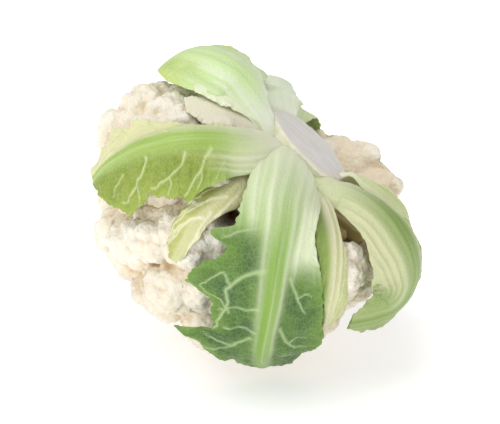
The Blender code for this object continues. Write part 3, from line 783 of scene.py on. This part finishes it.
# %% Leaves
# Each leaf: its rib's points, the half-widths left and right of the rib from base to tip, how tightly
# it wraps, the rib's height and spread, and the shares of its length between which the blade begins.
# A ridge: across, height, width, first and last share. A drawn vein: side, width, (across, along)s.
BACK_LEAF = {
    "wrap": [1.6, 1.4, 1, 1, 1, 1, 1],
    "rib_height": [4.5, 4, 3.4, 2.9, 2.3, 1.8, 1.1],
    "pale_until": 0.75,
    "ragged": 0.1,
    "veins_left": [(0.3, 0.5), (0.43, 0.68), (0.57, 0.82), (0.72, 0.94)],
    "veins_right": [(0.28, 0.46), (0.4, 0.64), (0.54, 0.8), (0.7, 0.93)],
    "size": (190, 130),
}
LEAVES = {
    "leaf_top_inner": {
        "rib": [(-148, 12, 31), (-153, 38, 42.5), (-154, 51, 42.5), (-154, 61, 40), (-154, 70, 35)],
        "left": [5, 4.5, 3.5, 3, 2.5],
        "right": [6, 8.5, 10.5, 10, 4],
        "wrap": [1.6, 1.3, 1, 1, 1, 1],
        "rib_height": [2.5, 2.2, 1.8, 1.4, 1, 0.7],
        "rib_spread": [6, 5.5, 5, 5, 4.5, 4],
        "blade_from": (0.9, 1.4),
        "ragged": 0.02,
        "size": (110, 60),
    },
    "leaf_left_upper": {
        "rib": [(-140, 12, 31), (-146, 37, 38.5), (-147, 50, 38), (-146, 62, 35), (-147, 73, 29)],
        "left": [5, 7, 8.5, 9, 4],
        "right": [6, 9, 13, 15, 6],
        "wrap": [1.6, 1.3, 1, 1, 1, 1],
        "rib_height": [2.5, 2.4, 2.2, 1.8, 1.2, 0.8],
        "rib_spread": [6, 6, 6, 6, 6, 5],
        "blade_from": (0.95, 1.5),
        "ragged": 0.02,
        "size": (110, 70),
    },
    "leaf_left_small": {
        "rib": [
            (-112, 12, 26), (-108, 40, 33), (-105, 60, 27), (-103, 76, 14), (-103, 82.5, 2),
            (-101, 83, -10), (-100, 81, -18),
        ],
        "left": [8, 8, 9, 10, 12, 13, 13, 13, 13, 12, 11, 10, 9.5, 8.5, 7.5, 6, 3],
        "right": [8, 8, 8, 8, 8, 8, 8, 7, 4.5, 3.7, 4.2, 4.7, 4.3, 3.5, 3, 2.5, 1.5],
        "wrap": [1.6, 1.3, 1, 1, 1, 1],
        "rib_height": [3.0, 2.6, 2.0, 1.4, 0.9, 0.5],
        "rib_spread": [6, 6, 5, 4, 3, 2.5],
        "blade_from": (0.25, 0.5),
        "ragged": 0.1,
        "veins_left": [(0.3, 0.5), (0.45, 0.68), (0.6, 0.85)],
        "veins_right": [(0.35, 0.6), (0.55, 0.8)],
        "size": (140, 90),
    },
    "leaf_right_small": {
        "rib": [
            (-66, 12, 29), (-62, 40, 38), (-60, 56, 38), (-58, 70, 34), (-54, 80, 24), (-49, 84, 12),
            (-43, 84, 1),
        ],
        "left": [4, 4, 4, 4, 5, 7, 9, 10.5, 10.5, 9.5, 8, 6.5, 5, 3.5, 2.5, 2, 1.5],
        "right": [8, 8, 8, 8.5, 7, 6, 5.5, 5.5, 6, 7, 8, 8.5, 9.5, 10, 10, 9, 5],
        "wrap": [1.6, 1.4, 1, 1, 1, 1],
        "rib_height": [3.0, 2.8, 2.4, 2.0, 1.6, 1.2, 0.8],
        "rib_spread": [6, 5.5, 5, 4.5, 4, 3.5, 3],
        "blade_from": (0.35, 0.6),
        "ridges": [(3, 0.6, 0.8, 0.1, 0.9), (6, 0.5, 0.8, 0.1, 0.9), (-1.5, 0.9, 1.0, 0.2, 0.95)],
        "flutes": 0.2,
        "flute_gap": 3.5,
        "ragged": 0.05,
        "size": (150, 90),
    },
    "leaf_right_outer": {
        "rib": [
            (10, 14, 34), (0, 26, 45), (-5, 34, 51), (-4, 43.5, 53.5), (1, 53, 53), (3, 62, 51),
            (1, 69, 48),
        ],
        "left": [6, 7, 8, 8.5, 8.5, 7, 3],
        "right": [6, 7, 8, 9, 9, 7, 3],
        "wrap": [1.6, 1.4, 1, 1, 1, 1, 1],
        "rib_height": [4, 3.5, 3, 2.5, 2, 1.5, 1],
        "rib_spread": [7, 6, 5, 4.5, 4, 4, 4],
        "blade_from": (0.5, 0.9),
        "ridges": [(-6, 0.9, 1.0, 0.1, 0.9), (6, 0.9, 1.0, 0.1, 0.9)],
        "rumple": 0.2,
        "ruffle": 0.1,
        "ragged": 0.01,
        "size": (190, 110),
    },
    "leaf_back": {
        "rib": [
            (112, 12, 25), (111, 38, 33), (109, 54, 35), (106, 68, 36), (102, 80, 24), (98, 83.5, 0),
            (95, 81, -22),
        ],
        "left": [8, 10, 13, 20, 27, 24, 9],
        "right": [8, 10, 13, 20, 27, 24, 9],
        **BACK_LEAF,
        "rib_spread": [8, 7.5, 7, 6.3, 5.7, 5, 4],
        "blade_from": (0.62, 0.85),
    },
    "leaf_back_left": {
        "rib": [
            (146, 12, 25), (141, 38, 35), (136, 54, 38), (132, 68, 39), (128, 80, 30), (124, 87, 8),
            (121, 85, -20),
        ],
        "left": [8, 11, 17, 26, 32, 28, 10],
        "right": [8, 11, 17, 24, 26, 22, 9],
        **BACK_LEAF,
        "rib_spread": [9, 8.3, 7.6, 6.8, 6, 5, 4],
        "blade_from": (0.6, 0.85),
    },
    "leaf_left": {
        "rib": [
            (-123, 12, 33.5), (-119, 38, 39), (-119, 58, 38), (-122, 69.5, 34.5), (-125, 78, 29),
            (-128, 83, 22.5), (-131, 85.5, 14.5), (-135, 86.5, 4.5), (-139, 85.5, -7),
            (-143, 84, -18.5), (-146, 81, -30.5),
        ],
        "left": [13, 11, 8.5, 7, 6, 6, 6.7, 7.2, 9, 11.5, 13.5, 15, 16.5, 18, 17, 12, 5],
        "right": [
            14, 13, 13, 13, 15, 16.5, 17.5, 19.5, 21.5, 23.5, 26, 28, 29, 28, 25.5, 25.5, 24.5, 27,
            28, 28.5, 25, 24, 20, 12, 4,
        ],
        "wrap": [1.6, 1.4, 1, 1, 1, 1, 1],
        "rib_height": [5, 5, 5, 5, 5, 4.8, 4.4, 3.6, 2.6, 1.6, 0.8],
        "rib_spread": [10, 9, 8, 7, 6.5, 6.5, 6, 5, 4, 3, 2],
        "blade_from": (0.2, 0.45),
        # The first ridge, along the rib's upper edge, carries a painted highlight.
        "ridges": [
            (-5.5, 0.5, 1.5, 0.15, 0.95), (9, 0.5, 1.0, 0.1, 0.4), (12, 0.6, 0.9, 0.15, 0.35),
            (15, 0.5, 0.9, 0.15, 0.35),
        ],
        "flutes": 0.12,
        "flute_gap": 4.5,
        "ragged": 0.1,
        "drawn_veins": [
            (1, 1.0, [(0.28, 0.36), (0.45, 0.385), (0.62, 0.4), (0.78, 0.44), (0.97, 0.49)]),
            (1, 0.6, [(0.62, 0.4), (0.8, 0.4), (0.96, 0.42)]),
            (1, 1.0, [(0.26, 0.47), (0.46, 0.5), (0.6, 0.54), (0.74, 0.6), (0.92, 0.65)]),
            (1, 0.6, [(0.66, 0.565), (0.8, 0.56), (0.96, 0.58)]),
            (1, 0.9, [(0.26, 0.665), (0.48, 0.685), (0.62, 0.72), (0.74, 0.77), (0.85, 0.82)]),
            (1, 0.6, [(0.66, 0.735), (0.82, 0.73), (0.98, 0.745)]),
            (1, 0.6, [(0.3, 0.8), (0.55, 0.84), (0.8, 0.88)]),
            (1, 0.6, [(0.3, 0.24), (0.55, 0.3), (0.9, 0.34)]),
            (-1, 0.6, [(0.35, 0.55), (0.65, 0.62), (0.95, 0.68)]),
            (-1, 0.6, [(0.35, 0.7), (0.65, 0.76), (0.95, 0.82)]),
        ],
        "size": (210, 140),
    },
    "leaf_right": {
        "rib": [
            (-56, 12, 34), (-45, 31, 42.5), (-41, 41, 48), (-38, 52, 52.5), (-34, 65, 53.5),
            (-29, 76, 50), (-25, 85, 42.5), (-24, 90, 33), (-25, 91, 23.5), (-29, 89.5, 15.5),
            (-36, 87.5, 8.5),
        ],
        "left": [12, 11, 11, 13, 16, 17.5, 19, 21.5, 25, 28.5, 30.5, 31, 30.5, 27, 21, 14, 7],
        "right": [14, 13, 13, 14, 15, 15.5, 15.5, 14.5, 15, 17, 20, 20, 19, 17, 12, 8, 4],
        "wrap": [1.6, 1.4, 1.1, 1.1, 1.15, 1.15, 1.15],
        "rib_height": [5.5, 5.2, 5, 4.6, 4.2, 3.6, 3, 2.4, 1.8, 1.2, 0.8],
        "rib_spread": [10, 10, 10, 10, 10, 10, 10, 9, 8, 6, 5],
        "blade_from": (0.5, 1.2),
        "left_side_until": (0.72, 0.52),
        "ridges": [
            (-9, 0.8, 1.4, 0.1, 0.75), (-13, 0.9, 1.3, 0.25, 0.7), (-17.5, 0.8, 1.2, 0.35, 0.65),
            (-22, 0.7, 1.2, 0.45, 0.62), (11, 0.7, 1.3, 0.1, 0.6),
        ],
        "flutes": 0.12,
        "flute_gap": 6.0,
        "ragged": 0.04,
        "size": (200, 150),
    },
    "leaf_top": {
        "rib": [
            (-162, 12, 33), (-163, 31, 42), (-164, 40, 47), (-167, 49.5, 49.5), (-170, 58, 49),
            (-175, 67, 45), (-180, 74.5, 38.5), (-184, 79, 29.5), (-188, 81, 19),
        ],
        "left": [16, 15, 15, 17, 20, 22, 23, 22, 21, 20, 20, 20, 19, 17, 14, 10, 5],
        "right": [14, 13, 13, 15.5, 17, 19, 21.5, 24, 26, 27, 27, 26.5, 25, 22, 17, 11, 5],
        "wrap": [1.4, 1.1, 0.8, 0.75, 0.9, 1.1, 1.25, 1.25, 1.2],
        "rib_height": [5.5, 5.4, 5.2, 4.8, 4.2, 3.4, 2.6, 2, 1.4],
        "rib_spread": [13, 13, 13, 12, 11, 10, 9, 8, 6],
        "blade_from": (0.45, 0.75),
        "ridges": [
            (12, 0.5, 1.6, 0.1, 0.6), (17, 0.4, 1.4, 0.15, 0.45), (-12, 0.4, 1.8, 0.1, 0.6),
            (-17, 0.4, 1.6, 0.1, 0.5),
        ],
        "flutes": 0.2,
        "flute_gap": 7.0,
        "rumple": 0.4,
        "ruffle": 0.5,
        "ragged": 0.0,
        "size": (210, 140),
    },
    "leaf_front": {
        "rib": [
            (-99, 12, 34.5), (-96, 33, 40.5), (-92, 50, 41), (-88, 67, 37.5), (-83, 77.5, 30),
            (-77, 84.5, 17), (-70, 88, 2), (-62, 86.5, -15), (-53, 82, -29), (-38, 73, -42),
        ],
        "left": [
            19, 19, 18.5, 18, 17, 16.5, 16.5, 17, 17, 17.5, 18, 18.5, 19, 19.5, 20, 22.5, 33, 22, 28,
            37, 38, 39.5, 30, 26.5, 26, 26.5, 39.5, 36, 28, 22, 15, 8, 3,
        ],
        "right": [21, 21, 21, 21.5, 21.5, 20, 18.5, 17.5, 19, 22, 24.5, 26.5, 28, 29.5, 30, 26, 10],
        "wrap": [1.6, 1.4, 1.2, 1, 1, 1, 1, 1],
        "rib_height": [5.5, 5.4, 5.2, 4.9, 4.6, 4.2, 3.7, 3.0, 2.2, 1.3],
        "rib_spread": [17, 16, 14, 12, 9.5, 8, 6.5, 5.5, 4.5, 3],
        "blade_from": (0.43, 0.53),
        "blade_from_right": (0.52, 0.66),
        "pale_until": 0.6,
        "pale_right": (0.52, 0.64),
        "ridges": [
            (-7, 0.6, 1.3, 0.15, 0.7), (5.5, 0.4, 1.2, 0.2, 0.9), (11, 0.8, 1.4, 0.02, 0.6),
            (14.5, 0.5, 1.0, 0.18, 0.42), (17.5, 0.6, 1.0, 0.06, 0.5), (-14, 0.7, 1.4, 0.02, 0.45),
        ],
        "flutes": 0.2,
        "flute_gap": 5.0,
        "ragged": 0.09,
        "ragged_right": 0.35,
        "drawn_veins": [
            (-1, 1.2, [(0.15, 0.58), (0.38, 0.605), (0.55, 0.65), (0.78, 0.71), (1.0, 0.78)]),
            (-1, 0.7, [(0.5, 0.635), (0.64, 0.6), (0.74, 0.62), (0.95, 0.67)]),
            (-1, 0.7, [(0.2, 0.69), (0.38, 0.705), (0.62, 0.7), (0.9, 0.715)]),
            (-1, 0.6, [(0.2, 0.77), (0.5, 0.765), (0.85, 0.77)]),
            (-1, 1.0, [(0.2, 0.8), (0.4, 0.84), (0.65, 0.86), (0.95, 0.87)]),
            (-1, 0.7, [(0.42, 0.84), (0.62, 0.82), (0.8, 0.805)]),
            (-1, 0.8, [(0.4, 0.46), (0.6, 0.475), (0.72, 0.5), (0.88, 0.51)]),
            (-1, 0.5, [(0.7, 0.72), (0.85, 0.68), (0.96, 0.66)]),
            (1, 0.8, [(0.34, 0.6), (0.5, 0.66), (0.66, 0.71)]),
            (1, 0.5, [(0.52, 0.66), (0.68, 0.65), (0.8, 0.66)]),
            (1, 0.9, [(0.25, 0.76), (0.38, 0.82), (0.55, 0.86), (0.75, 0.88)]),
            (1, 0.5, [(0.42, 0.835), (0.58, 0.81), (0.74, 0.82)]),
            (1, 0.5, [(0.3, 0.9), (0.6, 0.93), (0.85, 0.94)]),
        ],
        "size": (230, 150),
    },
    "leaf_stub_back": {
        "rib": [(140, 14, 34), (139, 31, 46), (138, 37, 50), (138, 43, 52)],
        "left": [11, 13, 14, 12],
        "right": [11, 13, 14, 12],
        "wrap": [1.6, 1.4, 1.2, 1.2],
        "rib_height": [3.5, 3.0, 2.5, 2.0],
        "rib_spread": [12, 12, 12, 12],
        "blade_from": (1.5, 2.0),
        "ragged": 0.06,
        "size": (60, 70),
    },
}
# Each skin: the slot, then its colours: the pale base, the rib, the blade and its deeper patches, the
# veins, the rim, and the paler side to the left of the rib where a leaf has one.
BACK_SKIN = {
    "slot": "green_leaf", "pale": (228, 234, 202), "rib": (168, 196, 106),
    "vein": (192, 212, 154), "rim": (156, 192, 88),
}
SKINS = {
    "leaf_front": {
        "slot": "green_leaf", "pale": (226, 232, 200), "rib": (130, 166, 66), "green": (84, 120, 42),
        "deep": (54, 90, 38), "vein": (178, 200, 144), "rim": (146, 184, 76),
    },
    "leaf_left": {
        "slot": "light_green_leaf", "pale": (230, 230, 204), "rib": (152, 182, 82),
        "green": (138, 154, 56), "deep": (124, 146, 46), "vein": (208, 216, 158),
        "rim": (170, 192, 88), "left_side": (228, 224, 180),
    },
    # leaf_left_small's darker olive to the left of its rib stands partly for its own green and partly
    # for painted shadow under leaf_left's edge.
    "leaf_left_small": {
        "slot": "light_green_leaf", "pale": (222, 220, 184), "rib": (200, 200, 146),
        "green": (208, 206, 160), "deep": (202, 200, 148), "vein": (230, 230, 196),
        "rim": (214, 206, 140), "left_side": (178, 182, 96),
    },
    "leaf_left_upper": {
        "slot": "pale_leaf", "pale": (236, 230, 214), "rib": (230, 226, 200),
        "green": (230, 226, 200), "deep": (230, 226, 200), "vein": (238, 234, 218),
        "rim": (236, 232, 214),
    },
    "leaf_top": {
        "slot": "light_green_leaf", "pale": (236, 240, 222), "rib": (198, 222, 158),
        "green": (196, 212, 134), "deep": (178, 204, 106), "vein": (232, 236, 204),
        "rim": (204, 212, 120),
    },
    "leaf_top_inner": {
        "slot": "pale_leaf", "pale": (240, 243, 222), "rib": (232, 240, 200),
        "green": (232, 240, 200), "deep": (224, 234, 180), "vein": (236, 240, 216),
        "rim": (206, 212, 130),
    },
    "leaf_right": {
        "slot": "light_green_leaf", "pale": (216, 220, 180), "rib": (130, 156, 76),
        "green": (146, 168, 92), "deep": (128, 152, 74), "vein": (218, 220, 184),
        "rim": (206, 208, 160), "left_side": (214, 214, 172),
    },
    "leaf_right_small": {
        "slot": "pale_leaf", "pale": (228, 224, 196), "rib": (204, 206, 156),
        "green": (200, 204, 150), "deep": (190, 196, 132), "vein": (226, 228, 190),
        "rim": (216, 222, 170), "left_side": (136, 168, 66),
    },
    "leaf_right_outer": {
        "slot": "pale_leaf", "pale": (234, 232, 210), "rib": (196, 206, 140),
        "green": (206, 214, 154), "deep": (196, 206, 140), "vein": (236, 236, 212),
        "rim": (232, 232, 206),
    },
    "leaf_back": {**BACK_SKIN, "green": (150, 180, 96), "deep": (128, 162, 82)},
    "leaf_back_left": {**BACK_SKIN, "green": (140, 172, 86), "deep": (116, 152, 72)},
    "leaf_stub_back": {
        "slot": "pale_leaf", "pale": (236, 238, 222), "rib": (220, 228, 202),
        "green": (222, 230, 204), "deep": (222, 230, 204), "vein": (236, 238, 224),
        "rim": (230, 234, 216),
    },
}
for number, (name, leaf) in enumerate(LEAVES.items()):
    skin = leaf_material(name + "_skin", SKINS[name])
    make_leaf(name, leaf, skin, 100 + 10 * number)

# %% [markdown]
# ## Floor, light and camera
# A white table, a large soft light above and to the left, one low in front and a bright sky keep the
# shadows faint.

# %% Stage
def soft_light(name, place, size, power):
    """A square lamp that faces the plant's centre."""
    lamp = bpy.data.lights.new(name, "AREA")
    lamp.energy, lamp.size = power, size
    made = bpy.data.objects.new(name, lamp)
    made.location = place
    made.rotation_euler = (Vector(head_at.tolist()) - Vector(place)).to_track_quat("-Z", "Y").to_euler()
    bpy.context.scene.collection.objects.link(made)


bpy.ops.mesh.primitive_plane_add(size=12, location=(0, 0, -0.0002))
floor = bpy.context.object
floor.name = "floor"
paint = bpy.data.materials.new("floor_white")
paint.use_nodes = True
shade = paint.node_tree.nodes["Principled BSDF"].inputs
shade["Base Color"].default_value = (0.7, 0.7, 0.7, 1)
shade["Roughness"].default_value = 0.9
shade["Emission Color"].default_value = (1, 1, 1, 1)
# The table glows a little more away from the plant, so that it stays white out to the horizon.
nodes, links = paint.node_tree.nodes, paint.node_tree.links
where = nodes.new("ShaderNodeTexCoord")
far = nodes.new("ShaderNodeVectorMath")
far.operation = "LENGTH"
glow = nodes.new("ShaderNodeMapRange")
for slot, value in zip(("From Min", "From Max", "To Min", "To Max"), (0.08, 0.22, 0.46, 0.9)):
    glow.inputs[slot].default_value = value
links.new(where.outputs["Object"], far.inputs[0])
links.new(far.outputs["Value"], glow.inputs["Value"])
links.new(glow.outputs["Result"], shade["Emission Strength"])
floor.data.materials.append(paint)

soft_light("above", (-0.35, -0.25, 1.1), 1.0, 5.8)
soft_light("front", (-0.45, -1.2, 0.6), 1.0, 4.0)
sky = bpy.data.worlds.new("studio")
sky.use_nodes = True
sky.node_tree.nodes["Background"].inputs["Color"].default_value = (1, 1, 1, 1)
sky.node_tree.nodes["Background"].inputs["Strength"].default_value = 0.55
bpy.context.scene.world = sky
bpy.context.scene.view_settings.view_transform = "Standard"

RISE = math.radians(18)
VIEWING_DISTANCE = 0.7264
AIM_BELOW_HEAD = 0.00366
toward_viewer = Vector((0, -math.cos(RISE), math.sin(RISE)))
upward = Vector((0, math.sin(RISE), math.cos(RISE)))
lens = bpy.data.cameras.new("camera")
lens.lens = 100
camera = bpy.data.objects.new("camera", lens)
spot = Vector(head_at.tolist()) - upward * AIM_BELOW_HEAD + toward_viewer * VIEWING_DISTANCE
facing = Matrix(((1, 0, 0), upward, toward_viewer)).transposed().to_4x4()
camera.matrix_world = Matrix.Translation(spot) @ facing
bpy.context.scene.collection.objects.link(camera)
bpy.context.scene.camera = camera
